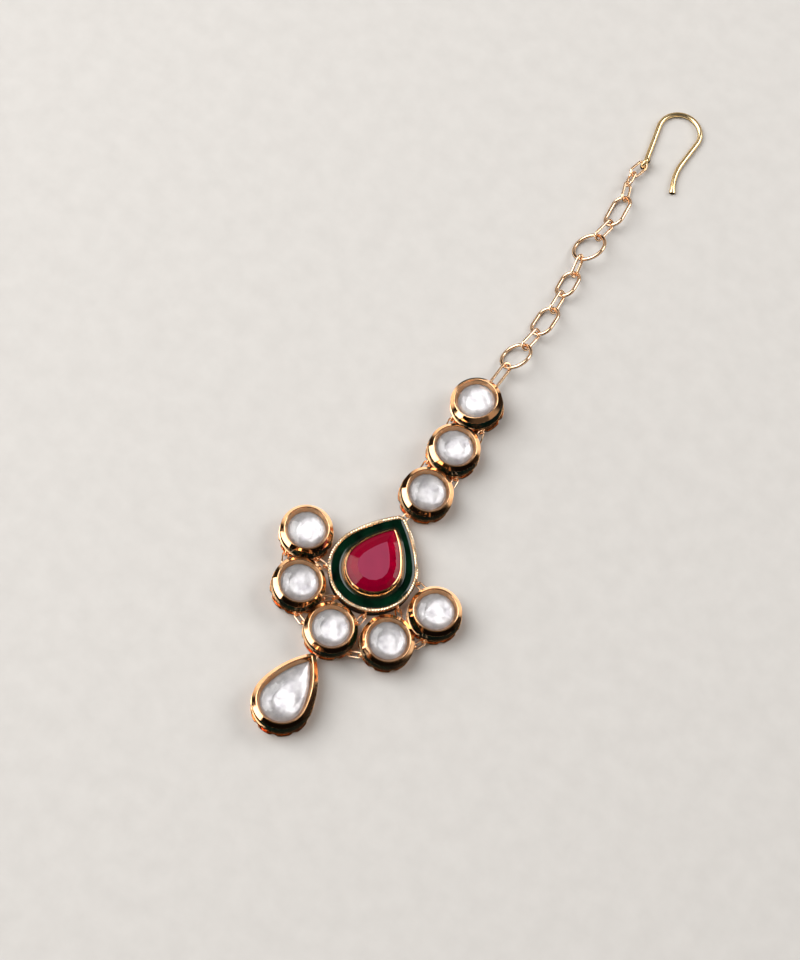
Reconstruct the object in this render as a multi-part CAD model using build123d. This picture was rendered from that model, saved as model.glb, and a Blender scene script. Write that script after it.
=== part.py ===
from build123d import *
import os
from collections import namedtuple
from math import asin, atan2, cos, degrees, hypot, pi, radians, sin, sqrt

# Maang tikka (forehead jewel) lying on its back plates: a shepherd's hook, a chain of
# alternating wide and narrow links, three round kundan units in a string, a green pear
# plate with a red pear stone, a fan of five more units round it and a clear pear drop.
# Millimetres, +Z up, resting on z = 0, the hook towards +Y. Pieces are laid out round
# the middle of the pear plate's round end, then moved to the middle of their box.

# Kundan setting, round or pear: insets are measured inwards from the rim's outline.
UNIT_RADIUS = 4.95
PLATE_THICK = 0.45
DRUM_INSET = 0.5
RIM_LOW, RIM_HIGH = 1.65, 2.1
BAND_TOP = 4.05
BEVEL_INSET = 0.08
LIP_INSET, LIP_WIDTH, LIP_TOP = 0.88, 0.14, 4.9
SEAT_INSET, SEAT_FLOOR, COLLAR_LOW = 1.5, 2.9, 4.0
SCALLOP_RADIUS, SCALLOP_OUT = 0.6, 0.3
UNIT_SCALLOPS, DROP_SCALLOPS = 8, 11
ENAMEL_INSET = 0.2
FIT = 0.04

# Clear stones: girdle, then one row of crown facets up to the table.
GIRDLE_TOP, TABLE_TOP, TABLE_INSET = 3.95, 4.5, 1.15
ROUND_SIDES = 12
PEAR_ROUND_SIDES = 8

# Pear outlines: radius of the round end, its middle to the sharp tip, radius of the
# long sides, and the rounding of the tip.
Pear = namedtuple("Pear", "radius reach side_radius tip_radius")
PLATE_PEAR = Pear(8.3, 12.1, 26.0, 1.5)
RUBY_PEAR = Pear(4.9, 8.1, 17.0, 0.12)
DROP_PEAR = Pear(5.4, 10.83, 17.0, 0.9)
TIP_LEAST = 0.08

# Pear plate: drum, raised border, bezel round the red stone and the green enamel.
PLATE_DRUM_INSET, PLATE_FLOOR = 0.4, 2.5
BORDER_LOW, BORDER_TOP, BORDER_WIDTH, BORDER_ROUND = 2.35, 3.35, 0.95, 0.3
GREEN_TOP = 3.0
BEZEL_FOOT, BEZEL_LIP, BEZEL_TOP = 0.75, 0.22, 4.4
RUBY_FLOOR = 2.8
RUBY_TIERS = [(0.0, 4.2), (0.85, 4.62), (2.0, 4.9)]
CLEAR_TIERS = [(0.0, GIRDLE_TOP), (TABLE_INSET, TABLE_TOP)]
PLATE_TURN = 2.0

# Where each round unit lies, and how many degrees its top leans towards +X and +Y.
Unit = namedtuple("Unit", "name x y lean_x lean_y")
STRING = [
    Unit("string_upper", 0.4, 38.15, -9.0, -2.0),
    Unit("string_middle", 0.85, 27.95, 2.0, 0.0),
    Unit("string_lower", 0.8, 17.75, 5.5, -2.5),
]
Lean = namedtuple("Lean", "name x y")
FAN_RADIUS, FAN_STEP, FAN_MIDDLE = 13.8, 43.4, -92.8
FAN = [
    Lean("fan_far_left", 0.0, 0.0),
    Lean("fan_left", 4.5, 0.0),
    Lean("fan_middle", 2.0, -2.0),
    Lean("fan_right", 4.5, -5.0),
    Lean("fan_far_right", 0.0, 0.0),
]
DROP_X, DROP_Y, DROP_TURN = -1.05, -29.9, -2.5

# Eyelets soldered to the drums, and the small couplings that join them. Lengths and
# widths of wire loops are those of the wire's middle line.
EYE_LEVEL, EYE_WIRE, EYE_WIDTH, EYE_LENGTH = 1.1, 0.34, 1.1, 2.4
COUPLING_WIRE, COUPLING_WIDTH = 0.32, 1.0
HOLE_RADIUS, SIDE_ANGLE = 4.98, 38.0
PLATE_HOLE_RADIUS = 8.3
TIP_HOLE_RADIUS, PLATE_TIP_HOLE, DROP_TIP_HOLE = 4.72, 11.2, 9.77
TIP_POCKET, TIP_POCKET_WIDTH = 0.6, 4.0
CHAIN_HOLE_RADIUS, CHAIN_EYE_WIDTH = 5.05, 1.5

# Chain: where each link meets the next, its wire, its outer width (0 is a round ring)
# and its roll about the chain's run.
Link = namedtuple("Link", "name end_x end_y end_z wire width roll")
CHAIN = [
    Link("connector", 0.95, 48.5, 2.2, 0.55, 2.1, 25),
    Link("ring_1", 1.7, 53.7, 2.2, 0.7, 0, -38),
    Link("short_1", 2.3, 57.9, 1.55, 0.55, 2.4, 50),
    Link("oval_2", 2.4, 63.6, 1.5, 0.7, 4.9, -33),
    Link("short_2", 2.35, 67.6, 1.4, 0.55, 2.4, 52),
    Link("oval_3", 2.2, 72.5, 1.4, 0.7, 4.4, -33),
    Link("short_3", 1.75, 76.0, 2.15, 0.55, 2.4, 60),
    Link("ring_4", 2.35, 81.6, 2.25, 0.7, 0, -35),
    Link("short_4", 3.1, 86.0, 1.5, 0.55, 2.4, 50),
    Link("oval_5", 2.8, 92.2, 1.45, 0.7, 4.4, -36),
    Link("short_5", 1.85, 95.5, 1.35, 0.5, 2.3, 45),
    Link("short_6", 1.55, 98.1, 1.35, 0.5, 2.3, -60),
    Link("short_7", 2.5, 101.4, 1.4, 0.5, 2.3, 20),
]
LINK_PLAY = 0.08

# Hook: round wire lying flat, its foot curled up into an upright eye on the last link.
HOOK_WIRE, EYE_TUBE, EYE_RING, EYE_HEADING = 1.0, 0.84, 0.9, 78.0
LEG_HEADING, LEG_LENGTH = 100.0, 9.7
BEND_RADIUS, BEND_TURN = 4.15, 195.0
BACK_LENGTH, FLARE_RADIUS, FLARE_TURN = 5.5, 12.0, 28.0
TIP_LENGTH, TIP_WIDE, TIP_THIN = 1.3, 1.3, 0.84


def round_outline(inset):
    """Face of the round setting's rim, moved inwards by inset."""
    return Circle(UNIT_RADIUS - inset)


def pear_points(pear, inset):
    """An inset pear's round radius, touch angle of its sides, tip and side's middle."""
    gap = pear.side_radius - pear.radius
    sine = (pear.side_radius**2 - gap**2 - pear.reach**2) / (2 * pear.reach * gap)
    cosine = sqrt(1 - sine**2)
    side = pear.side_radius - inset
    tip = sqrt(side**2 - (gap * cosine) ** 2) - gap * sine
    touch = atan2(sine, cosine)
    middle = (touch + atan2(tip + gap * sine, gap * cosine)) / 2
    bulge = (side * cos(middle) - gap * cosine, side * sin(middle) - gap * sine)
    return pear.radius - inset, touch, tip, bulge


def pear_outline(pear):
    """A function that gives the pear's face, moved inwards by its inset."""

    def face(inset):
        radius, touch, tip, (bulge_x, bulge_y) = pear_points(pear, inset)
        right = (radius * cos(touch), radius * sin(touch))
        left = (-right[0], right[1])
        round_end = ThreePointArc(right, (0, -radius), left)
        left_side = ThreePointArc(left, (-bulge_x, bulge_y), (0, tip))
        right_side = ThreePointArc((0, tip), (bulge_x, bulge_y), right)
        sharp = make_face([round_end, left_side, right_side])
        corner = sharp.vertices().sort_by(Axis.Y)[-1]
        return fillet(corner, max(pear.tip_radius - inset, TIP_LEAST))

    return face


def slab(outline, inset, low, high):
    """Straight-sided slab between two heights."""
    return extrude(Pos(0, 0, low) * outline(inset), high - low)


def slope(outline, low_inset, low, high_inset, high):
    """Sloping slab whose outline changes from low_inset to high_inset."""
    return loft([Pos(0, 0, low) * outline(low_inset), Pos(0, 0, high) * outline(high_inset)])


def scallops(outline, count):
    """Notches that turn the back plate's edge into a row of lobes."""
    edge = outline(-SCALLOP_OUT).face().outer_wire()
    notch = Cylinder(SCALLOP_RADIUS, 3 * PLATE_THICK)
    return [Pos(*(edge @ ((i + 0.5) / count))) * notch for i in range(count)]


def kundan_setting(outline, scallop_count):
    """Gold setting: scalloped back plate, drum, rim, polished bevel, lip and collar."""
    body = slab(outline, 0, 0, PLATE_THICK) - scallops(outline, scallop_count)
    body += slab(outline, DRUM_INSET, 0, BAND_TOP)
    body += slab(outline, 0, RIM_LOW, RIM_HIGH)
    body += slope(outline, BEVEL_INSET, BAND_TOP, LIP_INSET, LIP_TOP)
    body -= slope(outline, SEAT_INSET, COLLAR_LOW, LIP_INSET + LIP_WIDTH, LIP_TOP)
    return body - slab(outline, SEAT_INSET, SEAT_FLOOR, COLLAR_LOW)


def enamel_band(outline):
    """Green enamel ring in the groove between the rim and the bevel."""
    low, high = RIM_HIGH + FIT, BAND_TOP - FIT
    return slab(outline, ENAMEL_INSET, low, high) - slab(outline, DRUM_INSET - FIT, low, high)


def round_polygon(inset):
    """Flat-sided round outline of the clear stone's girdle, moved inwards by inset."""
    return RegularPolygon(UNIT_RADIUS - SEAT_INSET - FIT - inset, ROUND_SIDES)


def pear_polygon(pear, seat):
    """A function that gives a flat-sided pear, the seat inside the pear, by its inset."""

    def face(inset):
        radius, touch, tip, (bulge_x, bulge_y) = pear_points(pear, seat + inset)
        step = (pi + 2 * touch) / PEAR_ROUND_SIDES
        angles = [touch - step * i for i in range(PEAR_ROUND_SIDES + 1)]
        corners = [(radius * cos(angle), radius * sin(angle)) for angle in angles]
        corners += [(-bulge_x, bulge_y), (0, tip), (bulge_x, bulge_y)]
        return make_face(Polyline(*corners, close=True))

    return face


def cut_stone(polygon, floor, tiers):
    """Stone on a straight girdle with rows of facets; a tier is its inset and its top."""
    inset, low = tiers[0]
    stone = slab(polygon, inset, floor, low)
    for next_inset, high in tiers[1:]:
        lower, upper = Pos(0, 0, low) * polygon(inset), Pos(0, 0, high) * polygon(next_inset)
        stone += loft([lower, upper], ruled=True)
        inset, low = next_inset, high
    return stone


def wire_loop(length, width, wire):
    """Closed wire link lying flat, its length along Y."""
    radius = width / 2
    straight = length / 2 - radius
    if straight < FIT:
        return Torus(length / 2, wire / 2)
    section = Plane.XZ * Pos(radius, 0) * Circle(wire / 2)
    bend = Pos(0, straight, 0) * revolve(section, Axis.Z, 180)
    rod = Rot(90, 0, 0) * Cylinder(wire / 2, 2 * straight)
    return bend + Pos(radius, 0, 0) * rod + Pos(-radius, 0, 0) * rod + Rot(0, 0, 180) * bend


def between(start, end, roll=0):
    """Place that lays a flat link's Y from start to end, rolled about it."""
    run = (end - start).normalized()
    across = run.cross(Vector(0, 0, 1))
    flat = Plane((start + end) / 2, x_dir=across, z_dir=across.cross(run))
    return flat.location * Rot(0, roll, 0)


def heading(here, there):
    """Angle in degrees of the way from one spot to another."""
    way = there - here
    return degrees(atan2(way.Y, way.X))


def polar_spot(radius, angle):
    """A spot at the eyelets' level, at a radius and an angle in degrees."""
    return Vector(radius * cos(radians(angle)), radius * sin(radians(angle)), EYE_LEVEL)


class Metal:
    """A gold piece in its own frame, where it lies, and the eyelets soldered to it."""

    def __init__(self, body, place):
        self.body = body
        self.place = place
        self.middle = place.position

    def eyelet(self, spot, angle, width=EYE_WIDTH):
        """Solder on an upright eyelet facing an angle, and give where its hole lies."""
        loop = Rot(90, 0, 0) * Rot(0, 0, -90) * wire_loop(EYE_LENGTH, width, EYE_WIRE)
        shank = (EYE_LENGTH - width) / 2
        self.body += Pos(*spot) * Rot(0, 0, angle) * Pos(-shank, 0, 0) * loop
        return (self.place * Pos(*spot)).position

    def solid(self):
        """The finished piece where it lies."""
        return self.place * self.body


def coupling(start, end):
    """Small closed loop from one eyelet's hole to another's."""
    length = (end - start).length
    return between(start, end) * wire_loop(length, COUPLING_WIDTH, COUPLING_WIRE)


def couple_units(first, second, side):
    """Join two neighbouring round units on one side of the line between them."""
    way = heading(first.middle, second.middle)
    start = first.eyelet(polar_spot(HOLE_RADIUS, way + side * SIDE_ANGLE), way)
    end = second.eyelet(polar_spot(HOLE_RADIUS, way + 180 - side * SIDE_ANGLE), way + 180)
    return coupling(start, end)


def couple_to_plate(plate, unit):
    """Join a fan unit to the plate, on the side of the next unit round."""
    way = heading(plate.middle, unit.middle)
    plate_angle = degrees(asin(HOLE_RADIUS * sin(radians(SIDE_ANGLE)) / PLATE_HOLE_RADIUS))
    start = plate.eyelet(polar_spot(PLATE_HOLE_RADIUS, way + plate_angle), way)
    end = unit.eyelet(polar_spot(HOLE_RADIUS, way + 180 - SIDE_ANGLE), way + 180)
    return coupling(start, end)


def couple_to_tip(unit, pear_piece, tip_hole, turn):
    """Join a round unit to a pear piece's tip, cut back under its rim for the loop."""
    spot = Vector(0, tip_hole, EYE_LEVEL)
    way = heading(unit.middle, (pear_piece.place * Pos(*spot)).position)
    pocket = Box(TIP_POCKET_WIDTH, TIP_POCKET, 2 * (RIM_LOW - EYE_LEVEL))
    pear_piece.body -= Pos(*spot) * pocket
    start = unit.eyelet(polar_spot(TIP_HOLE_RADIUS, way), way)
    end = pear_piece.eyelet(spot, way + 180 - turn)
    return coupling(start, end)


def unit_place(unit):
    """Where a unit stands: its lowest edge on the table, its top leaning."""
    lift = UNIT_RADIUS * sin(radians(hypot(unit.lean_x, unit.lean_y)))
    return Pos(unit.x, unit.y, lift) * Rot(-unit.lean_y, unit.lean_x, 0)


def fan_units():
    """The fan's units, evenly spaced on an arc round the pear plate."""
    units = []
    for i, lean in enumerate(FAN):
        angle = radians(FAN_MIDDLE + (i - len(FAN) // 2) * FAN_STEP)
        x, y = FAN_RADIUS * cos(angle), FAN_RADIUS * sin(angle)
        units.append(Unit(lean.name, x, y, lean.x, lean.y))
    return units


def pear_plate():
    """Gold plate: drum, raised border, and the bezel that holds the red stone."""
    outline, ruby = pear_outline(PLATE_PEAR), pear_outline(RUBY_PEAR)
    border = slab(outline, 0, BORDER_LOW, BORDER_TOP)
    border -= slab(outline, BORDER_WIDTH, BORDER_LOW, BORDER_TOP)
    border = fillet(border.faces().sort_by(Axis.Z)[-1].edges(), BORDER_ROUND)
    body = slab(outline, PLATE_DRUM_INSET, 0, PLATE_FLOOR) + border
    body += slope(ruby, -BEZEL_FOOT, PLATE_FLOOR, -BEZEL_LIP, BEZEL_TOP)
    return body - slab(ruby, -FIT, RUBY_FLOOR, BEZEL_TOP)


def plate_enamel():
    """Green enamel bed between the border and the bezel."""
    bed = slab(pear_outline(PLATE_PEAR), BORDER_WIDTH + FIT, PLATE_FLOOR + FIT, GREEN_TOP)
    return bed - slab(pear_outline(RUBY_PEAR), -BEZEL_FOOT - FIT, PLATE_FLOOR, GREEN_TOP)


def chain_link(link, start, end, wire_before, wire_after):
    """One link, reaching past both meeting points by the neighbour's half wire."""
    run = (end - start).normalized()
    low = start - run * (wire_before / 2 + LINK_PLAY if wire_before else 0)
    high = end + run * (wire_after / 2 + LINK_PLAY if wire_after else 0)
    length = (high - low).length
    width = link.width - link.wire if link.width else length
    return between(low, high, link.roll) * wire_loop(length, width, link.wire)


def chain_links(start):
    """Every link of the chain from the string's eyelet to the hook's eye, by name."""
    links = {}
    wires = [0] + [link.wire for link in CHAIN] + [0]
    for i, link in enumerate(CHAIN):
        end = Vector(link.end_x, link.end_y, link.end_z)
        links["link_" + link.name] = chain_link(link, start, end, wires[i], wires[i + 2])
        start = end
    return links


def hook():
    """Shepherd's hook: upright eye, leg, round bend, back leg and a flattened tip."""
    eye = Vector(CHAIN[-1].end_x, CHAIN[-1].end_y, CHAIN[-1].end_z)
    foot = Vector(eye.X, eye.Y, HOOK_WIRE / 2)
    leg = PolarLine(foot, LEG_LENGTH, LEG_HEADING)
    bend = JernArc(leg @ 1, leg % 1, BEND_RADIUS, -BEND_TURN)
    back = PolarLine(bend @ 1, BACK_LENGTH, LEG_HEADING - BEND_TURN)
    flare = JernArc(back @ 1, back % 1, FLARE_RADIUS, FLARE_TURN)
    section = Plane(foot, z_dir=leg % 0) * Circle(HOOK_WIRE / 2)
    body = sweep(section, path=Wire([leg, bend, back, flare]))
    end = Plane(flare @ 1, x_dir=Vector(0, 0, 1), z_dir=flare % 1)
    tip_face = end.offset(TIP_LENGTH) * Ellipse(TIP_THIN / 2, TIP_WIDE / 2)
    body += loft([end * Circle(HOOK_WIRE / 2), tip_face])
    return body + Pos(*eye) * Rot(0, 0, EYE_HEADING) * Rot(90, 0, 0) * Torus(EYE_RING, EYE_TUBE / 2)


def build_pieces():
    """Every sub-part by its node's name, laid out round the middle of the pear plate."""
    fan = fan_units()
    round_setting = kundan_setting(round_outline, UNIT_SCALLOPS)
    round_enamel = enamel_band(round_outline)
    round_stone = cut_stone(round_polygon, SEAT_FLOOR + FIT, CLEAR_TIERS)
    pieces, metal = {}, {}
    for unit in STRING + fan:
        place = unit_place(unit)
        metal[unit.name] = Metal(round_setting, place)
        pieces[unit.name + "_enamel"] = place * round_enamel
        pieces[unit.name + "_stone"] = place * round_stone

    place = Rot(0, 0, PLATE_TURN)
    metal["plate"] = Metal(pear_plate(), place)
    pieces["plate_enamel"] = place * plate_enamel()
    pieces["plate_ruby"] = place * cut_stone(pear_polygon(RUBY_PEAR, FIT), RUBY_FLOOR + FIT, RUBY_TIERS)

    place = Pos(DROP_X, DROP_Y, 0) * Rot(0, 0, DROP_TURN)
    outline = pear_outline(DROP_PEAR)
    metal["drop"] = Metal(kundan_setting(outline, DROP_SCALLOPS), place)
    pieces["drop_enamel"] = place * enamel_band(outline)
    seat = pear_polygon(DROP_PEAR, SEAT_INSET + FIT)
    pieces["drop_stone"] = place * cut_stone(seat, SEAT_FLOOR + FIT, CLEAR_TIERS)

    pieces.update(couplings(metal, fan))
    upper = metal["string_upper"]
    spot = polar_spot(CHAIN_HOLE_RADIUS, heading(upper.middle, Vector(*CHAIN[0][1:4])))
    top_hole = upper.eyelet(spot, heading(Vector(0, 0, 0), spot), CHAIN_EYE_WIDTH)
    pieces.update(chain_links(top_hole))
    pieces["hook"] = hook()
    for name, piece in metal.items():
        pieces[name + "_setting"] = piece.solid()
    return pieces


def couplings(metal, fan):
    """The small loops that join the settings, soldering their eyelets on the way."""
    upper, middle, lower = (metal[unit.name] for unit in STRING)
    loops = {
        "coupling_upper_left": couple_units(upper, middle, -1),
        "coupling_upper_right": couple_units(upper, middle, 1),
        "coupling_lower_left": couple_units(middle, lower, -1),
        "coupling_lower_right": couple_units(middle, lower, 1),
        "coupling_plate": couple_to_tip(lower, metal["plate"], PLATE_TIP_HOLE, PLATE_TURN),
    }
    around = [metal[unit.name] for unit in fan]
    for i, (first, second) in enumerate(zip(around, around[1:])):
        loops[f"coupling_rim_{i + 1}"] = couple_units(first, second, -1)
    for i, unit in enumerate(around):
        loops[f"coupling_fan_{i + 1}"] = couple_to_plate(metal["plate"], unit)
    loops["coupling_drop"] = couple_to_tip(around[2], metal["drop"], DROP_TIP_HOLE, DROP_TURN)
    return loops


os.makedirs("parts", exist_ok=True)
pieces = build_pieces()
box = Compound(list(pieces.values())).bounding_box()
shift = Pos(-box.center().X, -box.center().Y, -box.min.Z)
for name, piece in pieces.items():
    export_step(shift * piece, f"parts/{name}.step")
print("pieces", len(pieces), "size", box.size)
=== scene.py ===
from collections import namedtuple
from math import asin, atan2, cos, pi, radians, sin, sqrt

import bmesh
import bpy
from mathutils import Matrix, Vector


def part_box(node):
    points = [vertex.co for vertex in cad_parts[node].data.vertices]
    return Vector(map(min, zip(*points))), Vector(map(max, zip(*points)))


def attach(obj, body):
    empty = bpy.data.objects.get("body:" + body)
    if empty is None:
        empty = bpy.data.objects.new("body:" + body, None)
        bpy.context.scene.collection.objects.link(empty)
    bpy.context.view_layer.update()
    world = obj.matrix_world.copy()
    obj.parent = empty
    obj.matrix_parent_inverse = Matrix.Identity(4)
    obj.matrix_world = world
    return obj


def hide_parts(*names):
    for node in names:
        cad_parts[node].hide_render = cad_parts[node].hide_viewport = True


# Maang tikka lying on its back plates. Shapes are made in millimetres and brought to
# metres when a piece is finished. The wire pieces (hook, links, couplings) are the
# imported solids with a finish. The settings, enamels and stones are remade here with
# worn edges, drawn-up enamel, a twisted wire border, more crown facets and foil.

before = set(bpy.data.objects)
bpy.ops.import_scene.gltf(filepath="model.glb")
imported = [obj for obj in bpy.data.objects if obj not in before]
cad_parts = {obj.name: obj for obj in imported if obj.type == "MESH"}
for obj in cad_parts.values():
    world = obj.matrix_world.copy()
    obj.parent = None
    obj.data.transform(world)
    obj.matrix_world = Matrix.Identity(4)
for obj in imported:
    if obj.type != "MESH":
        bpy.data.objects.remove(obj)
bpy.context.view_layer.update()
MM = 0.001

# Outlines: the round rim, and pears by round radius, reach to the sharp tip, radius of
# the long sides and rounding of the tip. A pear is drawn in steps along a side, round
# the tip and round the end. The stones' outlines have few steps, which are their facets.
ROUND_RADIUS = 4.95
Pear = namedtuple("Pear", "radius reach side_radius tip_radius")
PLATE_PEAR = Pear(8.3, 12.1, 26.0, 1.5)
RUBY_PEAR = Pear(4.9, 8.1, 17.0, 0.12)
DROP_PEAR = Pear(5.4, 10.83, 17.0, 0.9)
TIP_LEAST = 0.08
ROUND_STEPS, ROUND_FACETS = 96, 16
Steps = namedtuple("Steps", "side tip end")
SMOOTH = Steps(26, 8, 44)
RUBY_FACETS = Steps(4, 1, 9)
DROP_FACETS = Steps(4, 1, 10)

# Each table of corners below gives inset from its outline and height, in the order
# that the skin follows them. These are the kundan setting's, from its back plate up
# the outside and down into the seat, and its enamel band's.
BACK_PLATE = [(0.0, 0.0), (0.0, 0.45)]
DRUM = [(0.5, 0.47), (0.5, 1.62)]
RIM = [(0.0, 1.65), (0.0, 2.1)]
GROOVE = [(0.5, 2.13), (0.5, 3.99)]
BEVEL = [(0.16, 4.02), (0.78, 4.75)]
LIP = [(0.82, 4.8), (0.88, 4.87), (0.95, 4.9), (1.02, 4.87), (1.06, 4.78)]
COLLAR = [(1.3, 4.44), (1.38, 4.2), (1.54, 4.03), (1.54, 3.98), (1.46, 3.95), (1.46, 2.9)]
SETTING_SIDE = DRUM + RIM + GROOVE + BEVEL + LIP + COLLAR
ENAMEL_BAND = [(0.46, 2.14), (0.17, 2.17), (0.13, 3.1), (0.17, 3.95), (0.46, 3.98)]
SCALLOP_RADIUS, SCALLOP_OUT, UNIT_SCALLOPS, DROP_SCALLOPS = 0.6, 0.3, 8, 11

# Handling has worn the edges of the metal and the enamel to a small round, wherever
# they turn by more than this angle in degrees.
EDGE, EDGE_STEPS, EDGE_ANGLE = 0.05, 2, 50.0

# Clear stones, from their girdle: the foil's dish, the facets up to the table and the
# table's slight swell. The dish ends in a shallow round middle, tipped to one side,
# whose rings are given as shares of its radius and rises from its depth.
SEAT = 1.48
UNIT_DISH = [(0.5, 3.58), (0.0, 3.82)]
DROP_DISH = [(0.95, 3.52), (0.55, 3.62), (0.0, 3.82)]
CLEAR_CROWN = [(0.0, 3.87), (0.4, 4.16), (0.9, 4.38)]
CLEAR_DOME = [(1.5, 4.5), (2.2, 4.55)]
Middle = namedtuple("Middle", "radius x y")
UNIT_MIDDLE, DROP_MIDDLE = Middle(2.1, -0.2, -0.55), Middle(2.4, 0.1, 0.45)
MIDDLE_DEPTH, MIDDLE_TILT, MIDDLE_TILT_AXIS = 3.34, 8.5, (1, -1, 0)
MIDDLE_RINGS = [(1.0, 0.04), (0.6, 0.0)]

# Red stone, from its girdle.
RUBY_FIT = 0.04
RUBY_DISH = [(2.1, 3.5), (0.8, 3.75), (0.0, 3.95)]
RUBY_CROWN = [(0.0, 4.2), (0.85, 4.62), (2.0, 4.88)]
RUBY_DOME = [(2.9, 4.9)]

# Pear plate: the drum from the plate's outline and the bezel from the stone's, the
# enamel bed's two sides from the same outlines, and the twisted wire border.
PLATE_DRUM = [(0.5, 0.0), (0.4, 0.1), (0.4, 2.45), (0.5, 2.5)]
BEZEL = [
    (-0.76, 2.5), (-0.75, 3.6), (-0.1, 4.4), (0.08, 4.38), (0.08, 4.3), (-0.02, 4.25), (-0.02, 2.8),
]
BED_OUTSIDE = [(0.7, 2.55), (0.7, 3.04), (0.9, 2.97), (1.1, 2.94), (1.2, 2.93)]
BED_INSIDE = [(-1.15, 2.93), (-1.05, 2.94), (-0.9, 2.97), (-0.77, 3.08), (-0.8, 2.55)]
ROPE_INSET, ROPE_LEVEL, ROPE_STRAND, ROPE_COIL = 0.44, 2.95, 0.2, 0.22
ROPE_TURNS, ROPE_STEPS, ROPE_ROUNDNESS = 50, 10, 1

# Eyelets let into the drums: level, wire and loop, the steps round the wire and its
# bends, how near its points are welded, and how far out the eyelets' holes lie.
Eyelet = namedtuple("Eyelet", "spot facing width")
EYE_LEVEL, EYE_WIRE, EYE_WIDTH, EYE_LENGTH = 1.1, 0.34, 1.1, 2.4
WIRE_SIDES, BEND_STEPS, WELD_SHARE = 12, 10, 0.01
CHAIN_EYE_WIDTH, CHAIN_HOLE_RADIUS = 1.5, 5.05
HOLE_RADIUS, SIDE_ANGLE, PLATE_HOLE_RADIUS = 4.98, 38.0, 8.3
TIP_HOLE_RADIUS, PLATE_TIP_HOLE, DROP_TIP_HOLE = 4.72, 11.2, 9.77

# Where things lie: degrees that the tops of the round units lean towards +X and +Y,
# and degrees that the pears turn. A piece is set on its node's box by its enamel.
Lean = namedtuple("Lean", "name x y")
STRING = [
    Lean("string_upper", -9.0, -2.0),
    Lean("string_middle", 2.0, 0.0),
    Lean("string_lower", 5.5, -2.5),
]
FAN = [
    Lean("fan_far_left", 0.0, 0.0),
    Lean("fan_left", 4.5, 0.0),
    Lean("fan_middle", 2.0, -2.0),
    Lean("fan_right", 4.5, -5.0),
    Lean("fan_far_right", 0.0, 0.0),
]
PLATE_TURN, DROP_TURN = 2.0, -2.5
Extent = namedtuple("Extent", "inset low high")
BAND_EXTENT, BED_EXTENT = Extent(0.2, 2.14, 4.01), Extent(0.99, 2.54, 3.0)

# Camera: height and turn of the view and its roll in degrees, then its distance, its
# field of view, the nearest that it sees and the spot that it looks at.
VIEW_UP, VIEW_ROUND, VIEW_ROLL = 67.0, 19.0, 12.0
VIEW_DISTANCE, VIEW_FIELD, NEAREST_SEEN = 453.0, 22.0, 10.0
AIM = (-4.86, -21.79, 0.0)

# Table and lights in metres: each panel's way from the jewel, distance, size and watts.
TABLE_SIZE = 1.5
Panel = namedtuple("Panel", "name way distance width height power")
PANELS = [
    Panel("overhead_panel", (-0.6, -0.1, 0.8), 0.9, 0.84, 0.84, 10.0),
    Panel("left_panel", (-0.8, -0.6, 0.09), 0.7, 0.79, 0.22, 1.8),
    Panel("back_panel", (0.5, 0.6, 0.65), 0.8, 0.4, 0.4, 2.5),
]

# A Mix node's sockets for two colours and their mix, which go by number.
MIX_FIRST, MIX_SECOND, MIXED = 6, 7, 2

# Walls that the metal mirrors, from straight below (0) over the table's level (0.5) to
# straight above (1). The front of the room is dim, except below the table's level.
WALL_TONES = [
    (0.2, "#161412"), (0.24, "#fff6ea"), (0.39, "#f6ece0"), (0.41, "#2a2420"), (0.6, "#2a2420"),
    (0.66, "#b4aca4"), (0.84, "#b4aca4"), (0.9, "#2a2725"), (1.0, "#2a2725"),
]
DARK_FRONT = (0.342, -0.94, -0.9)
WALL_LEVEL = {"From Min": -1.0, "From Max": 1.0, "To Min": 0.0, "To Max": 1.0}
FRONT_EDGE = {"From Min": 0.2, "From Max": 0.3, "To Min": 1.0, "To Max": 0.2}
BELOW_TABLE = {"From Min": -0.3, "From Max": -0.15, "To Min": 1.5, "To Max": 0.0}


# ---------------------------------------------------------------- outlines and lofts

def round_outline(steps):
    """A function that adds the round rim's ring, moved inwards, at a height."""

    def ring(bm, inset, height):
        lift = Matrix.Translation((0, 0, height))
        radius = ROUND_RADIUS - inset
        made = bmesh.ops.create_circle(bm, radius=radius, segments=steps, matrix=lift)
        return made["verts"]

    return ring


def arc(bm, start, centre, angle, steps):
    """Spin a vertex about a centre and return the vertices it leaves, in order."""
    before = len(bm.verts)
    middle = Vector((centre[0], centre[1], start.co.z))
    bmesh.ops.spin(bm, geom=[start], cent=middle, axis=(0, 0, 1), angle=angle, steps=steps)
    bm.verts.ensure_lookup_table()
    return bm.verts[before:]


def pear_outline(pear, steps):
    """A function that adds the pear's ring, moved inwards, at a height."""
    gap = pear.side_radius - pear.radius
    sine = (pear.side_radius**2 - gap**2 - pear.reach**2) / (2 * pear.reach * gap)
    across, along = gap * sqrt(1 - sine**2), gap * sine
    touch = asin(sine)

    def ring(bm, inset, height):
        radius = pear.radius - inset
        tip = max(pear.tip_radius - inset, TIP_LEAST)
        tip_middle = sqrt((pear.side_radius - inset - tip) ** 2 - across**2) - along
        lean = atan2(tip_middle + along, across)
        first = bm.verts.new((radius * cos(touch), radius * sin(touch), height))
        verts = [first]
        verts += arc(bm, verts[-1], (-across, -along), lean - touch, steps.side)
        verts += arc(bm, verts[-1], (0, tip_middle), pi - 2 * lean, steps.tip)
        verts += arc(bm, verts[-1], (across, -along), lean - touch, steps.side)
        verts += arc(bm, verts[-1], (0, 0), pi + 2 * touch, steps.end)
        bmesh.ops.weld_verts(bm, targetmap={verts[-1]: first})
        return verts[:-1]

    return ring


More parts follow.
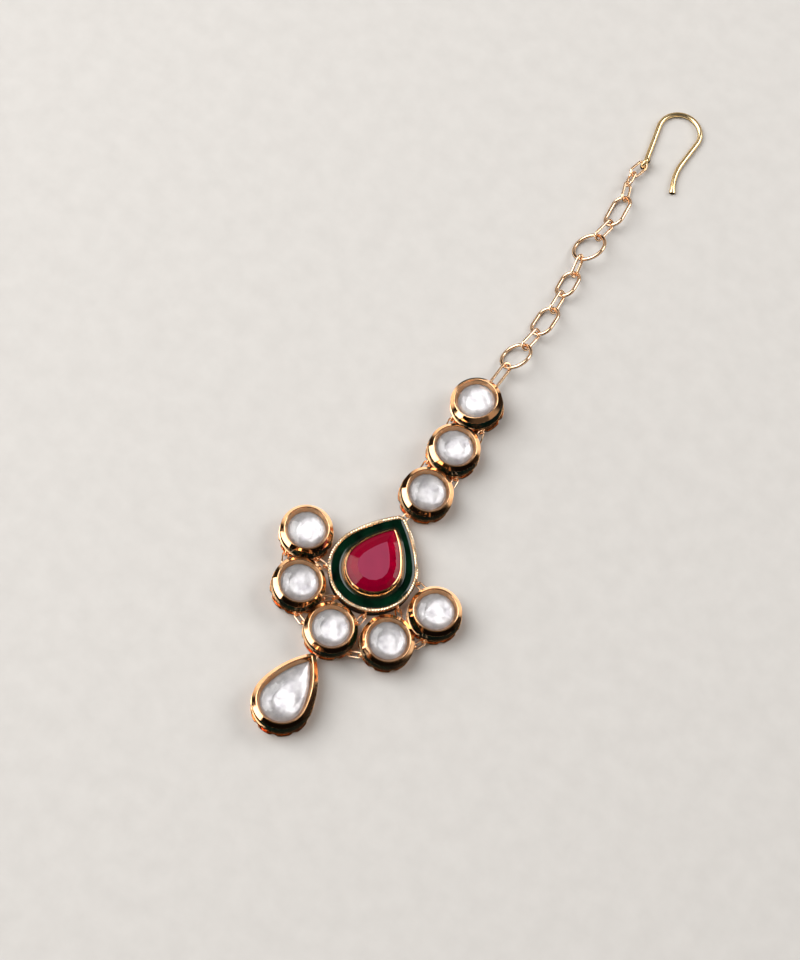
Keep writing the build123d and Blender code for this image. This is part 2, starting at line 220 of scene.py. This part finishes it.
ROUND, CUT_ROUND = round_outline(ROUND_STEPS), round_outline(ROUND_FACETS)
DROP, CUT_DROP = pear_outline(DROP_PEAR, SMOOTH), pear_outline(DROP_PEAR, DROP_FACETS)
RUBY, CUT_RUBY = pear_outline(RUBY_PEAR, SMOOTH), pear_outline(RUBY_PEAR, RUBY_FACETS)
PLATE = pear_outline(PLATE_PEAR, SMOOTH)


def rings_of(bm, outline, corners, seat=0.0):
    """A ring of the outline for each corner, all moved inwards by the seat."""
    return [outline(bm, seat + inset, height) for inset, height in corners]


def loop_edges(bm, ring):
    """The closed loop of edges through a ring of vertices."""
    return [bm.edges.get(pair) for pair in zip(ring, ring[1:] + ring[:1])]


def loft(bm, rings, closed=False):
    """Bridge rings in turn, then close the skin end to end or cap both ends."""
    pairs = list(zip(rings, rings[1:]))
    if closed:
        pairs.append((rings[-1], rings[0]))
    for lower, upper in pairs:
        bmesh.ops.bridge_loops(bm, edges=loop_edges(bm, lower) + loop_edges(bm, upper))
    if not closed:
        bm.faces.new(rings[0])
        bm.faces.new(rings[-1])


# ------------------------------------------------------------------- where pieces lie

def leaning(lean):
    """The turn that leans a unit's top towards +X and +Y."""
    tip_y = Matrix.Rotation(radians(-lean.y), 4, "X")
    return tip_y @ Matrix.Rotation(radians(lean.x), 4, "Y")


def turned(angle):
    """The turn of a pear on the table, by degrees."""
    return Matrix.Rotation(radians(angle), 4, "Z")


def place_of(node, outline, extent, turn):
    """The place, in millimetres, that sets a band of the piece on its node's box."""
    bm = bmesh.new()
    verts = outline(bm, extent.inset, extent.low) + outline(bm, extent.inset, extent.high)
    points = [turn @ vert.co for vert in verts]
    bm.free()
    middle = Vector([(min(axis) + max(axis)) / 2 for axis in zip(*points)])
    box_low, box_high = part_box(node)
    return Matrix.Translation((box_low + box_high) / (2 * MM) - middle) @ turn


def heading(here, there):
    """Angle in radians of the way from one spot to another."""
    way = there - here
    return atan2(way.y, way.x)


def polar_spot(radius, angle):
    """A spot at the eyelets' level, at a radius and an angle in radians."""
    return Vector((radius * cos(angle), radius * sin(angle), EYE_LEVEL))


# --------------------------------------------------------------------------- finishes

def linear(hex_colour):
    """An sRGB hex colour as linear red, green, blue and alpha."""
    parts = [int(hex_colour[i:i + 2], 16) / 255 for i in (1, 3, 5)]
    light = [p / 12.92 if p <= 0.04045 else ((p + 0.055) / 1.055) ** 2.4 for p in parts]
    return (*light, 1.0)


def add(tree, kind, inputs=None, **settings):
    """Add a node with its settings; inputs are values or sockets to link from."""
    node = tree.nodes.new(kind)
    for name, value in settings.items():
        setattr(node, name, value)
    for name, value in (inputs or {}).items():
        if isinstance(value, bpy.types.NodeSocket):
            tree.links.new(value, node.inputs[name])
        else:
            node.inputs[name].default_value = value
    return node


def per_mm(size):
    """Noise scale for a pattern whose features are this many millimetres."""
    return 1.0 / (size * MM)


def new_material(name):
    """An empty node material: its tree, its surface shader and Object coordinates."""
    material = bpy.data.materials.new(name)
    material.use_nodes = True
    tree = material.node_tree
    tree.nodes.clear()
    shader = add(tree, "ShaderNodeBsdfPrincipled")
    add(tree, "ShaderNodeOutputMaterial", {"Surface": shader.outputs["BSDF"]})
    place = add(tree, "ShaderNodeTexCoord").outputs["Object"]
    return material, tree, shader, place


def blotches(tree, place, size, detail, low=0.0, high=1.0):
    """Soft noise of a size in millimetres, its middle range spread between two values."""
    pattern = {"Vector": place, "Scale": per_mm(size), "Detail": detail}
    noise = add(tree, "ShaderNodeTexNoise", pattern).outputs["Fac"]
    spread = {"From Min": 0.3, "From Max": 0.7, "To Min": low, "To Max": high}
    return add(tree, "ShaderNodeMapRange", {"Value": noise, **spread}).outputs["Result"]


def cloud_colour(tree, shader, place, first, second, size, detail):
    """Colour the surface between two hex colours in soft patches."""
    share = blotches(tree, place, size, detail)
    colours = {"Factor": share, MIX_FIRST: linear(first), MIX_SECOND: linear(second)}
    mix = add(tree, "ShaderNodeMix", colours, data_type="RGBA")
    tree.links.new(mix.outputs[MIXED], shader.inputs["Base Color"])


def cloud_gloss(tree, shader, place, rough, size, detail):
    """Dull the surface in patches, between two roughnesses."""
    tree.links.new(blotches(tree, place, size, detail, *rough), shader.inputs["Roughness"])


def soft_waves(tree, shader, place, size, depth):
    """Waves in the surface, of a size and a depth in millimetres."""
    waves = blotches(tree, place, size, detail=1.0)
    bump = add(tree, "ShaderNodeBump", {"Height": waves, "Distance": depth * MM, "Strength": 1.0})
    tree.links.new(bump.outputs["Normal"], shader.inputs["Normal"])


def polished_gold(name, bright, deep, wave_depth, rough):
    """Gold plate over brass, buffed by hand.

    The plate is a mirror with soft waves a millimetre or two long left by the buffing
    wheel, a little dulled in patches, and its colour runs slightly deeper in places.
    """
    material, tree, shader, place = new_material(name)
    shader.inputs["Metallic"].default_value = 1.0
    cloud_colour(tree, shader, place, bright, deep, size=2.5, detail=2.0)
    cloud_gloss(tree, shader, place, rough, size=0.4, detail=3.0)
    soft_waves(tree, shader, place, size=1.3, depth=wave_depth)
    return material


def vitreous_enamel(name, deep, bright, cloud_size):
    """Glass enamel, fired and stoned level.

    Its colour is deep and clouded where the layer is thick, and lighter where it thins,
    under a glossy skin with a faint orange-peel ripple.
    """
    material, tree, shader, place = new_material(name)
    shader.inputs["Roughness"].default_value = 0.06
    cloud_colour(tree, shader, place, deep, bright, size=cloud_size, detail=3.0)
    soft_waves(tree, shader, place, size=0.9, depth=0.006)
    return material


def cut_glass(name, tint, index, body, rough=(0.0, 0.03), gloss=0.5):
    """Cut and polished glass: clear, bright-edged facets with a faint haze of fine wear.

    The body is how much of the light is caught by the colour in the glass itself, and
    the gloss is how strongly its faces mirror the room. The red stone's faces mirror
    little, so it has a low gloss and index.
    """
    material, tree, shader, place = new_material(name)
    shader.inputs["Base Color"].default_value = linear(tint)
    shader.inputs["IOR"].default_value = index
    shader.inputs["Transmission Weight"].default_value = 1.0 - body
    shader.inputs["Specular IOR Level"].default_value = gloss
    cloud_gloss(tree, shader, place, rough, size=1.0, detail=2.0)
    return material


def pressed_foil(name, bright, deep):
    """Thin metal foil pressed behind a stone: soft sheen, cloudy tone and fine creases."""
    material, tree, shader, place = new_material(name)
    shader.inputs["Metallic"].default_value = 1.0
    cloud_colour(tree, shader, place, bright, deep, size=1.9, detail=2.0)
    cloud_gloss(tree, shader, place, (0.3, 0.46), size=0.7, detail=2.0)
    soft_waves(tree, shader, place, size=1.4, depth=0.02)
    return material


# The twisted wire border is the same gold as the setting, but its colour is made paler, near white:
# painted highlight, so that its beads read as bright white dots.
ROPE_GOLD_PAINTED_HIGHLIGHT = polished_gold("gold_wire_twisted_painted_highlight", "#fff3e0", "#fbe2c0", 0.002, (0.06, 0.12))
SETTING_GOLD = polished_gold("rose_gold_plate_buffed", "#f9c99a", "#f0b480", 0.006, (0.04, 0.12))
WIRE_GOLD = polished_gold("rose_gold_wire_drawn", "#fcdcba", "#f5caa2", 0.006, (0.12, 0.22))
HOOK_GOLD = polished_gold("yellow_gold_wire_drawn", "#fde4b4", "#f6d498", 0.004, (0.2, 0.24))
BAND_ENAMEL = vitreous_enamel("green_black_enamel_fired", "#04100c", "#0a2a1c", 1.5)
PLATE_ENAMEL = vitreous_enamel("bottle_green_enamel_fired", "#010805", "#042818", 3.2)
CLEAR_GLASS = cut_glass("clear_glass_cut", "#fcfafa", 1.52, body=0.2)
RED_GLASS = cut_glass("red_glass_cut", "#b20034", 1.36, body=0.4, gloss=0.05)
RED_TABLE = cut_glass("red_glass_table_hazed", "#c25070", 1.44, body=0.5, rough=(0.1, 0.14))
SILVER_FOIL = pressed_foil("silver_foil_pressed", "#e9e8e9", "#acaaaf")
PINK_FOIL = pressed_foil("pink_foil_pressed", "#c45878", "#7c2c44")


# ----------------------------------------------------------------------- making pieces

def finish_piece(bm, name, place, materials, node, faceted=False):
    """Bring a mesh to its place in metres, fix it to the root and hide the node that it stands in
    for.
    """
    bmesh.ops.recalc_face_normals(bm, faces=bm.faces)
    bmesh.ops.transform(bm, matrix=Matrix.Scale(MM, 4) @ place, verts=bm.verts)
    mesh = bpy.data.meshes.new(name)
    bm.to_mesh(mesh)
    bm.free()
    piece = bpy.data.objects.new(name, mesh)
    bpy.context.scene.collection.objects.link(piece)
    for material in materials:
        mesh.materials.append(material)
    if not faceted:
        mesh.polygons.foreach_set("use_smooth", [True] * len(mesh.polygons))
        worn = piece.modifiers.new("worn_edges", "BEVEL")
        worn.width = EDGE * MM
        worn.segments = EDGE_STEPS
        worn.angle_limit = radians(EDGE_ANGLE)
        worn.harden_normals = True
    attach(piece, "root")
    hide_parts(node)


def run_lengths(points):
    """The length of each run of a closed ring, from a point to the next."""
    return [(after - point).length for point, after in zip(points, points[1:] + points[:1])]


def outward_ways(points):
    """The level way outwards at each point of a closed ring."""
    befores, afters = points[-1:] + points[:-1], points[1:] + points[:1]
    return [(b - a).cross(Vector((0, 0, 1))).normalized() for a, b in zip(befores, afters)]


def scallop(ring, count):
    """Push notches into a ring so that the back plate's edge is a row of lobes."""
    points = [vert.co.copy() for vert in ring]
    lengths = run_lengths(points)
    pitch = sum(lengths) / count
    run = 0.0
    for vert, way, length in zip(ring, outward_ways(points), lengths):
        off = (run + pitch / 2) % pitch - pitch / 2
        if abs(off) < SCALLOP_RADIUS:
            vert.co -= way * max(sqrt(SCALLOP_RADIUS**2 - off**2) - SCALLOP_OUT, 0)
        run += length


def items_of(geometry, kind):
    """The vertices or the edges among what an operator returns."""
    return [item for item in geometry if isinstance(item, kind)]


def wire_loop(length, width, wire):
    """Closed wire loop lying flat with its length along Y, as a mesh."""
    bm = bmesh.new()
    radius, half = width / 2, (length - width) / 2
    upright = Matrix.Translation((radius, half, 0)) @ Matrix.Rotation(pi / 2, 4, "X")
    bmesh.ops.create_circle(bm, radius=wire / 2, segments=WIRE_SIDES, matrix=upright)
    edges = bm.edges[:]
    for middle, run in ((half, -2 * half), (-half, 2 * half)):
        bent = bmesh.ops.spin(
            bm, geom=edges, cent=(0, middle, 0), axis=(0, 0, 1), angle=pi, steps=BEND_STEPS
        )
        ends = items_of(bent["geom_last"], bmesh.types.BMEdge)
        drawn = bmesh.ops.extrude_edge_only(bm, edges=ends)["geom"]
        edges = items_of(drawn, bmesh.types.BMEdge)
        bmesh.ops.translate(bm, verts=items_of(drawn, bmesh.types.BMVert), vec=(0, run, 0))
    bmesh.ops.remove_doubles(bm, verts=bm.verts, dist=wire * WELD_SHARE)
    mesh = bpy.data.meshes.new("eyelet_loop")
    bm.to_mesh(mesh)
    bm.free()
    return mesh


def add_eyelets(bm, eyes):
    """Upright wire loops let into the drum, with their holes outside it."""
    stand = Matrix.Rotation(pi / 2, 4, "X") @ Matrix.Rotation(-pi / 2, 4, "Z")
    for eye in eyes:
        shank = Matrix.Translation(((eye.width - EYE_LENGTH) / 2, 0, 0))
        hole = Matrix.Translation(eye.spot) @ Matrix.Rotation(eye.facing, 4, "Z")
        loop = wire_loop(EYE_LENGTH, eye.width, EYE_WIRE)
        loop.transform(hole @ shank @ stand)
        bm.from_mesh(loop)


def kundan_setting(outline, scallops, eyes):
    """Scalloped back plate, drum, rim, polished bevel, lip and collar, with eyelets."""
    bm = bmesh.new()
    back = rings_of(bm, outline, BACK_PLATE)
    for ring in back:
        scallop(ring, scallops)
    loft(bm, back + rings_of(bm, outline, SETTING_SIDE))
    add_eyelets(bm, eyes)
    return bm


def enamel_band(outline):
    """Enamel in the groove between rim and bevel, swelling a little where it was fired."""
    bm = bmesh.new()
    loft(bm, rings_of(bm, outline, ENAMEL_BAND), closed=True)
    return bm


def foil_middle(bm, middle, steps):
    """The rings of the foil's shallow round middle, from its centre outwards."""
    tilt = Matrix.Rotation(radians(MIDDLE_TILT), 4, Vector(MIDDLE_TILT_AXIS))
    rings = []
    for share, rise in MIDDLE_RINGS:
        spot = Matrix.Translation((middle.x, middle.y, MIDDLE_DEPTH + rise)) @ tilt
        radius = middle.radius * share
        made = bmesh.ops.create_circle(bm, radius=radius, segments=steps, matrix=spot)
        rings.insert(0, made["verts"])
    return rings


def cut_stone(outline, seat, dish, crown, dome, middle=None):
    """Foil-backed stone: dished foil, facets up to the table, a table that swells slightly.

    Its materials are the crown's, the foil's and the table's. A foil with a middle bends
    softly, and every other edge is sharp.
    """
    bm = bmesh.new()
    rings = rings_of(bm, outline, dish + crown + dome, seat)
    sharp = rings
    if middle:
        sharp = rings[len(dish) - 1:]
        rings = foil_middle(bm, middle, len(rings[0])) + rings
    loft(bm, rings)
    for ring in sharp:
        for edge in loop_edges(bm, ring):
            edge.smooth = False
    girdle, table = (dish[-1][1] + crown[0][1]) / 2, crown[-1][1]
    for face in bm.faces:
        height = face.calc_center_median().z
        face.smooth = height > table or height < girdle
        if height < girdle:
            face.material_index = 1
        elif height > table:
            face.material_index = 2
    return bm


def rope_strand(phase):
    """One strand of the twisted wire border, as a mesh."""
    bm = bmesh.new()
    points = [vert.co.copy() for vert in PLATE(bm, ROPE_INSET, ROPE_LEVEL)]
    bm.free()
    lengths = run_lengths(points)
    total = sum(lengths)
    curve = bpy.data.curves.new("rope_strand", "CURVE")
    curve.dimensions = "3D"
    curve.bevel_depth = ROPE_STRAND
    curve.bevel_resolution = ROPE_ROUNDNESS
    spline = curve.splines.new("POLY")
    count = ROPE_TURNS * ROPE_STEPS
    spline.points.add(count - 1)
    spline.use_cyclic_u = True
    i, run = 0, 0.0
    for step in range(count):
        target = total * step / count
        while run + lengths[i] < target:
            run += lengths[i]
            i += 1
        along = points[(i + 1) % len(points)] - points[i]
        spot = points[i] + along * ((target - run) / lengths[i])
        out = along.cross(Vector((0, 0, 1))).normalized()
        twist = 2 * pi * step / ROPE_STEPS + phase
        spot += out * (ROPE_COIL * cos(twist)) + Vector((0, 0, ROPE_COIL * sin(twist)))
        spline.points[step].co = (*spot, 1.0)
    strand = bpy.data.objects.new("rope_strand", curve)
    mesh = bpy.data.meshes.new_from_object(strand)
    bpy.data.objects.remove(strand)
    return mesh


def plate_setting(eyes):
    """Drum and floor, the bezel round the red stone, and the twisted wire border."""
    bm = bmesh.new()
    loft(bm, rings_of(bm, PLATE, PLATE_DRUM) + rings_of(bm, RUBY, BEZEL))
    add_eyelets(bm, eyes)
    plain = set(bm.faces)
    for phase in (0.0, pi):
        bm.from_mesh(rope_strand(phase))
    for face in bm.faces:
        face.material_index = 0 if face in plain else 1
    return bm


def plate_enamel():
    """Enamel bed, drawn up a little against the border and the bezel."""
    bm = bmesh.new()
    loft(bm, rings_of(bm, PLATE, BED_OUTSIDE) + rings_of(bm, RUBY, BED_INSIDE), closed=True)
    return bm


# ------------------------------------------------------------------ places and eyelets

places = {}
for unit in STRING + FAN:
    places[unit.name] = place_of(unit.name + "_enamel", ROUND, BAND_EXTENT, leaning(unit))
places["plate"] = place_of("plate_enamel", PLATE, BED_EXTENT, turned(PLATE_TURN))
places["drop"] = place_of("drop_enamel", DROP, BAND_EXTENT, turned(DROP_TURN))
eyelets = {name: [] for name in places}


def join_units(first, second, side):
    """Eyelets for a coupling on one side of the line between two round units."""
    way = heading(places[first].translation, places[second].translation)
    aside = side * radians(SIDE_ANGLE)
    here = polar_spot(HOLE_RADIUS, way + aside)
    there = polar_spot(HOLE_RADIUS, way + pi - aside)
    eyelets[first].append(Eyelet(here, way, EYE_WIDTH))
    eyelets[second].append(Eyelet(there, way + pi, EYE_WIDTH))


def join_to_plate(unit):
    """Eyelets for the coupling between a fan unit and the plate."""
    way = heading(places["plate"].translation, places[unit].translation)
    aside = radians(SIDE_ANGLE)
    plate_aside = asin(HOLE_RADIUS * sin(aside) / PLATE_HOLE_RADIUS)
    here = polar_spot(PLATE_HOLE_RADIUS, way + plate_aside)
    there = polar_spot(HOLE_RADIUS, way + pi - aside)
    eyelets["plate"].append(Eyelet(here, way, EYE_WIDTH))
    eyelets[unit].append(Eyelet(there, way + pi, EYE_WIDTH))


def join_to_tip(unit, pear, hole, pear_turn):
    """Eyelets for the coupling between a round unit and a pear's tip."""
    there = Vector((0, hole, EYE_LEVEL))
    way = heading(places[unit].translation, places[pear] @ there)
    eyelets[unit].append(Eyelet(polar_spot(TIP_HOLE_RADIUS, way), way, EYE_WIDTH))
    eyelets[pear].append(Eyelet(there, way + pi - radians(pear_turn), EYE_WIDTH))


def join_to_chain(unit):
    """Eyelet that the chain's lowest link passes through."""
    link_low, link_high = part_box("link_connector")
    way = heading(places[unit].translation, (link_low + link_high) / (2 * MM))
    eyelets[unit].append(Eyelet(polar_spot(CHAIN_HOLE_RADIUS, way), way, CHAIN_EYE_WIDTH))


for upper, lower in zip(STRING, STRING[1:]):
    join_units(upper.name, lower.name, -1)
    join_units(upper.name, lower.name, 1)
join_to_tip("string_lower", "plate", PLATE_TIP_HOLE, PLATE_TURN)
for first, second in zip(FAN, FAN[1:]):
    join_units(first.name, second.name, -1)
for unit in FAN:
    join_to_plate(unit.name)
join_to_tip("fan_middle", "drop", DROP_TIP_HOLE, DROP_TURN)
join_to_chain("string_upper")


# --------------------------------------------------------------------------- the jewel

Kundan = namedtuple("Kundan", "outline cut scallops dish middle")
ROUND_UNIT = Kundan(ROUND, CUT_ROUND, UNIT_SCALLOPS, UNIT_DISH, UNIT_MIDDLE)
DROP_UNIT = Kundan(DROP, CUT_DROP, DROP_SCALLOPS, DROP_DISH, DROP_MIDDLE)


def make_kundan(name, kind):
    """Setting, enamel band and clear stone of a round unit or the drop."""
    place = places[name]
    setting = kundan_setting(kind.outline, kind.scallops, eyelets[name])
    finish_piece(setting, name + "_cup", place, [SETTING_GOLD], name + "_setting")
    band = enamel_band(kind.outline)
    finish_piece(band, name + "_band", place, [BAND_ENAMEL], name + "_enamel")
    stone = cut_stone(kind.cut, SEAT, kind.dish, CLEAR_CROWN, CLEAR_DOME, kind.middle)
    backed = [CLEAR_GLASS, SILVER_FOIL, CLEAR_GLASS]
    finish_piece(stone, name + "_glass", place, backed, name + "_stone", faceted=True)


def make_plate():
    """Setting with its wire border, enamel bed and red stone of the centre."""
    place = places["plate"]
    golds = [SETTING_GOLD, ROPE_GOLD_PAINTED_HIGHLIGHT]
    setting = plate_setting(eyelets["plate"])
    finish_piece(setting, "plate_bezel_and_rope", place, golds, "plate_setting")
    finish_piece(plate_enamel(), "plate_green", place, [PLATE_ENAMEL], "plate_enamel")
    ruby = cut_stone(CUT_RUBY, RUBY_FIT, RUBY_DISH, RUBY_CROWN, RUBY_DOME)
    backed = [RED_GLASS, PINK_FOIL, RED_TABLE]
    finish_piece(ruby, "plate_red_glass", place, backed, "plate_ruby", faceted=True)


def gild_wires():
    """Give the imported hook, links and couplings their gold."""
    for name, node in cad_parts.items():
        if name == "hook" or name.startswith(("link_", "coupling_")):
            node.data.materials.clear()
            node.data.materials.append(HOOK_GOLD if name == "hook" else WIRE_GOLD)


for unit in STRING + FAN:
    make_kundan(unit.name, ROUND_UNIT)
make_kundan("drop", DROP_UNIT)
make_plate()
gild_wires()


# ----------------------------------------------------------------- table, light, camera

def matte_table():
    """A large plain table top of pale matte board, very slightly clouded.

    The metal doesn't mirror it, and shows the studio's walls in its place.
    """
    material, tree, shader, place = new_material("pale_matte_board")
    shader.inputs["Roughness"].default_value = 0.9
    cloud_colour(tree, shader, place, "#cfccc8", "#cac7c3", size=4.0, detail=4.0)
    bm = bmesh.new()
    bmesh.ops.create_grid(bm, x_segments=1, y_segments=1, size=TABLE_SIZE)
    mesh = bpy.data.meshes.new("table_top")
    bm.to_mesh(mesh)
    bm.free()
    mesh.materials.append(material)
    table = bpy.data.objects.new("table_top", mesh)
    bpy.context.scene.collection.objects.link(table)
    table.visible_glossy = False


def soft_light(panel):
    """A soft white panel light that looks at the jewel."""
    light = bpy.data.lights.new(panel.name, "AREA")
    light.shape = "RECTANGLE"
    light.size = panel.width
    light.size_y = panel.height
    light.energy = panel.power
    lamp = bpy.data.objects.new(panel.name, light)
    way = Vector(panel.way).normalized()
    lamp.location = Vector(AIM) * MM + way * panel.distance
    lamp.rotation_euler = way.to_track_quat("Z", "Y").to_euler()
    bpy.context.scene.collection.objects.link(lamp)


def studio_walls():
    """Dim room: pale below the table's level, dark at it, grey walls, a dark ceiling."""
    world = bpy.data.worlds.new("studio_walls")
    world.use_nodes = True
    tree = world.node_tree
    way = add(tree, "ShaderNodeTexCoord").outputs["Generated"]
    height = add(tree, "ShaderNodeSeparateXYZ", {"Vector": way}).outputs["Z"]
    level = add(tree, "ShaderNodeMapRange", {"Value": height, **WALL_LEVEL}).outputs["Result"]
    ramp = add(tree, "ShaderNodeValToRGB", {"Fac": level})
    stops = ramp.color_ramp.elements
    stops.remove(stops[1])
    stops[0].position, stops[0].color = WALL_TONES[0][0], linear(WALL_TONES[0][1])
    for position, colour in WALL_TONES[1:]:
        stops.new(position).color = linear(colour)
    front = add(tree, "ShaderNodeVectorMath", {0: way, 1: DARK_FRONT}, operation="DOT_PRODUCT")
    facing = {"Value": front.outputs["Value"], **FRONT_EDGE}
    dimmed = add(tree, "ShaderNodeMapRange", facing).outputs["Result"]
    below = add(tree, "ShaderNodeMapRange", {"Value": height, **BELOW_TABLE}).outputs["Result"]
    strength = add(tree, "ShaderNodeMath", {0: dimmed, 1: below}, operation="MAXIMUM").outputs[0]
    background = tree.nodes["Background"]
    tree.links.new(ramp.outputs["Color"], background.inputs["Color"])
    tree.links.new(strength, background.inputs["Strength"])
    bpy.context.scene.world = world


def add_camera():
    """Camera above and to one side, rolled about its own axis."""
    up, about, roll = radians(VIEW_UP), radians(VIEW_ROUND), radians(VIEW_ROLL)
    back = Vector((cos(up) * sin(about), -cos(up) * cos(about), sin(up)))
    level = Vector((cos(about), sin(about), 0))
    rise = back.cross(level)
    right = level * cos(roll) + rise * sin(roll)
    top = rise * cos(roll) - level * sin(roll)
    data = bpy.data.cameras.new("camera")
    data.sensor_fit = "VERTICAL"
    data.angle = radians(VIEW_FIELD)
    data.clip_start = NEAREST_SEEN * MM
    camera = bpy.data.objects.new("camera", data)
    turn = Matrix((right, top, back)).transposed().to_4x4()
    spot = (Vector(AIM) + back * VIEW_DISTANCE) * MM
    camera.matrix_world = Matrix.Translation(spot) @ turn
    bpy.context.scene.collection.objects.link(camera)
    bpy.context.scene.camera = camera


matte_table()
for panel in PANELS:
    soft_light(panel)
studio_walls()
add_camera()
bpy.context.scene.view_settings.view_transform = "Standard"
